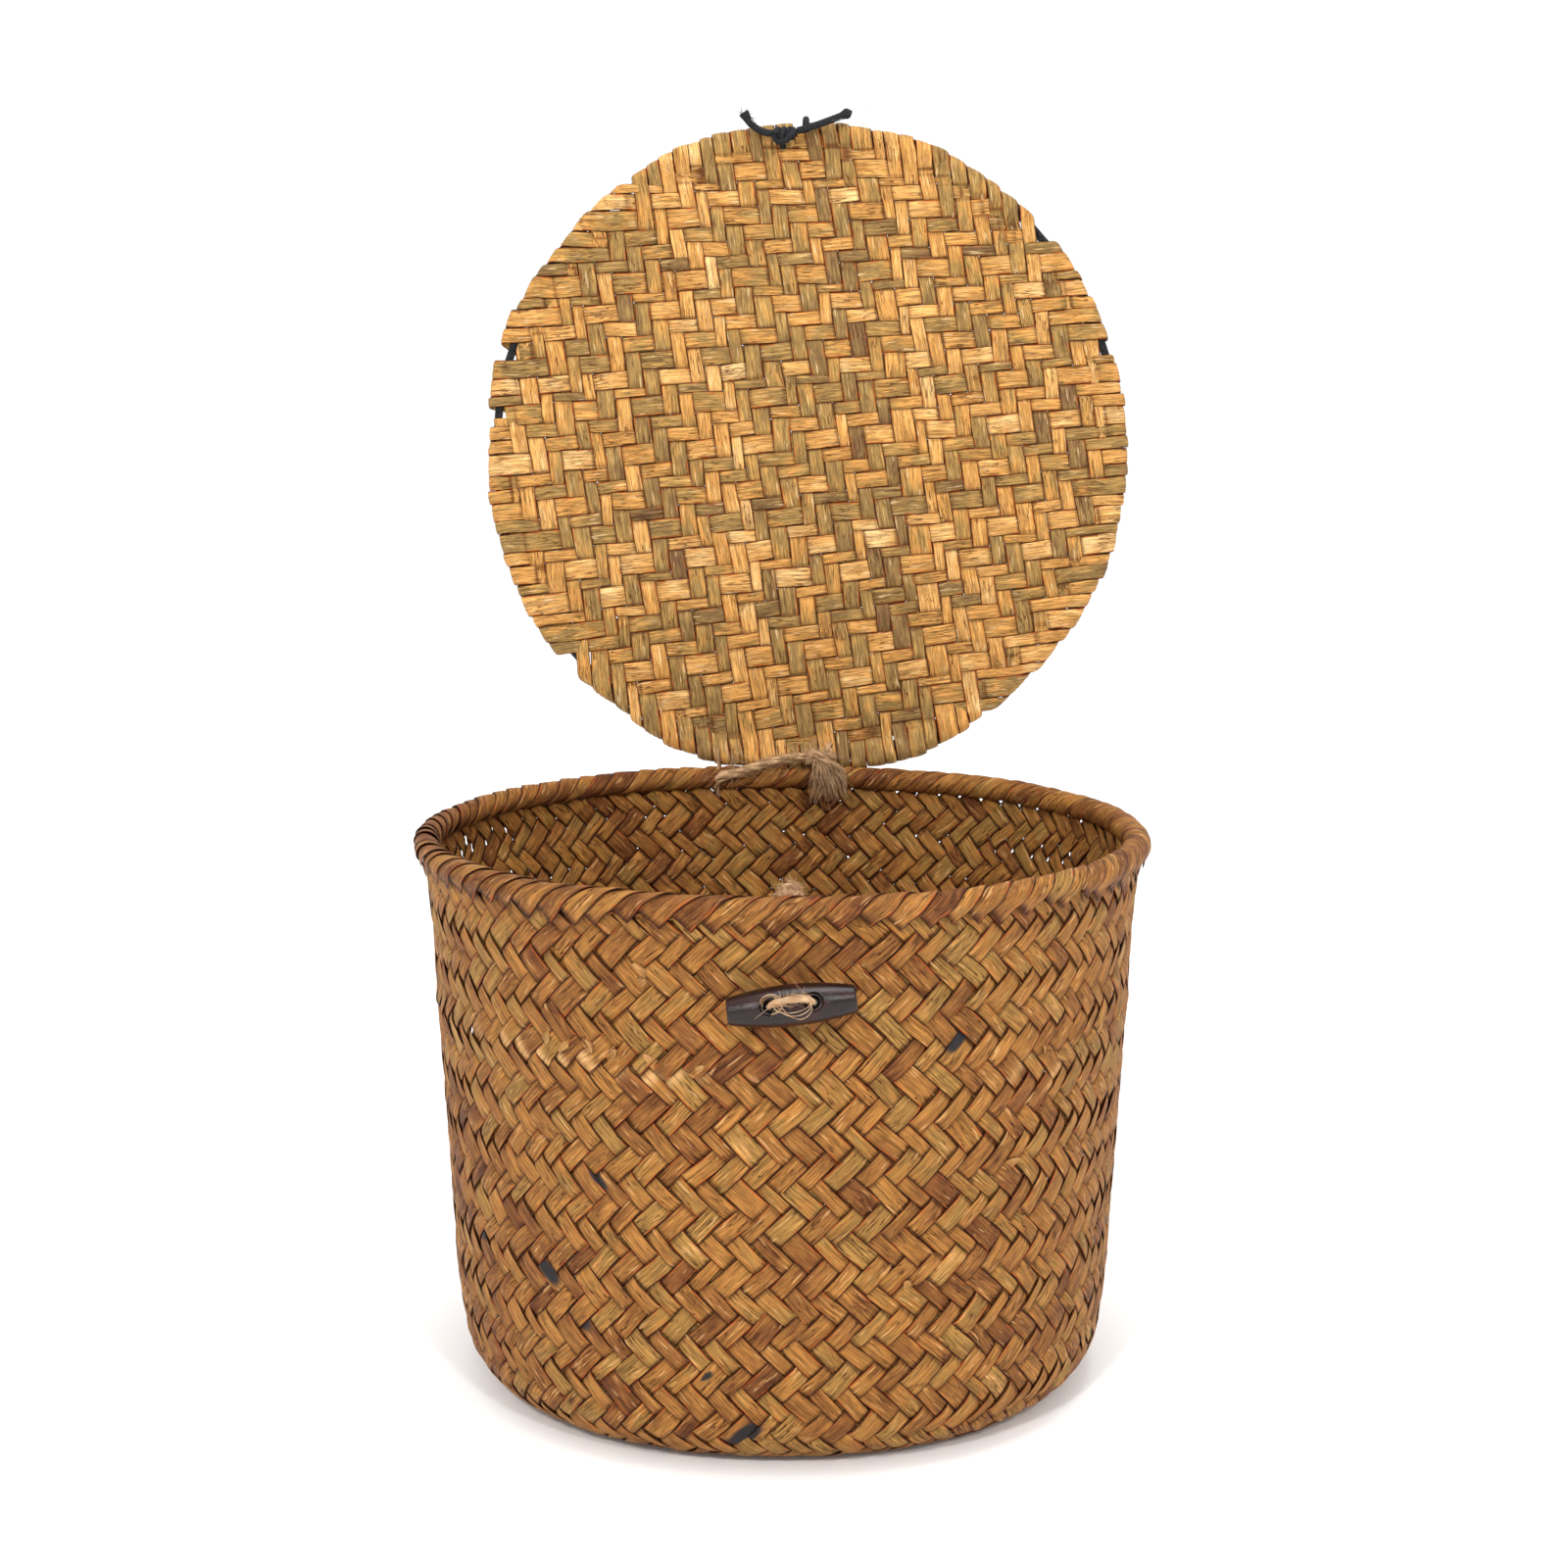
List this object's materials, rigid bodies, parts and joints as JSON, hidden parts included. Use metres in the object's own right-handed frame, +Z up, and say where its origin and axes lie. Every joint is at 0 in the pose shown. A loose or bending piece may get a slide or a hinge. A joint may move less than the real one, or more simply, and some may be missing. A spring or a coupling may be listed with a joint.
{
  "type": "lidded wicker basket",
  "caption": "Round woven basket with a rolled rim, a woven lid on a twine hinge, a wooden toggle on the front and an elastic loop on the lid.",
  "frame": {"origin": "centre of the flat base, on the surface the basket stands on", "axes": "+Z up through the open mouth, -Y out of the front past the toggle, +X to the right as seen from the front"},
  "size_m": [0.2461, 0.2735, 0.4205],
  "materials": {
    "weave": "flat dried-leaf strips in a bias twill, satin, golden brown with darker fibres",
    "rim_strip": "folded leaf strips, satin, light brown",
    "core_strip": "bundle of folded strip ends, matt",
    "lid_weave": "flat dried-leaf strips in a square twill, satin, golden yellow and olive",
    "lid_strip": "leaf strips folded over the hoop, satin, golden yellow",
    "wire": "black coated wire, satin",
    "toggle_wood": "dark brown lacquered wood, glossy",
    "thread": "thin jute twine, fuzzy",
    "jute": "jute twine, matt and fuzzy, frayed at its end",
    "elastic": "black braided elastic cord, matt"
  },
  "bodies": {
    "basket": {"basket_body": "weave", "rim_border": "rim_strip", "rim_core": "core_strip", "toggle_riser": "thread", "toggle_knot": "thread", "hinge_tie_left": "jute", "hinge_tie_right": "jute", "hinge_strand": "jute", "hinge_knot": "jute", "hinge_tassel": "jute"},
    "lid": {"lid_panel": "lid_weave", "lid_border": "lid_strip", "lid_hoop": "wire", "elastic_loop": "elastic", "elastic_knot": "elastic", "elastic_tail_left": "elastic", "elastic_tail_right": "elastic"},
    "toggle": {"toggle": "toggle_wood", "toggle_stitch": "thread"}
  },
  "joints": [
    {"name": "lid_hinge", "type": "hinge", "parent": "basket", "child": "lid", "pos_m": [0.0084, 0.1152, 0.1844], "axis": [0.999, -0.0436, 0], "range_deg": [0, 93.5]},
    {"name": "toggle_swivel", "type": "hinge", "parent": "basket", "child": "toggle", "pos_m": [0.0027, -0.1235, 0.15], "axis": [0, -1, 0], "range_deg": [-90, 90]}
  ]
}
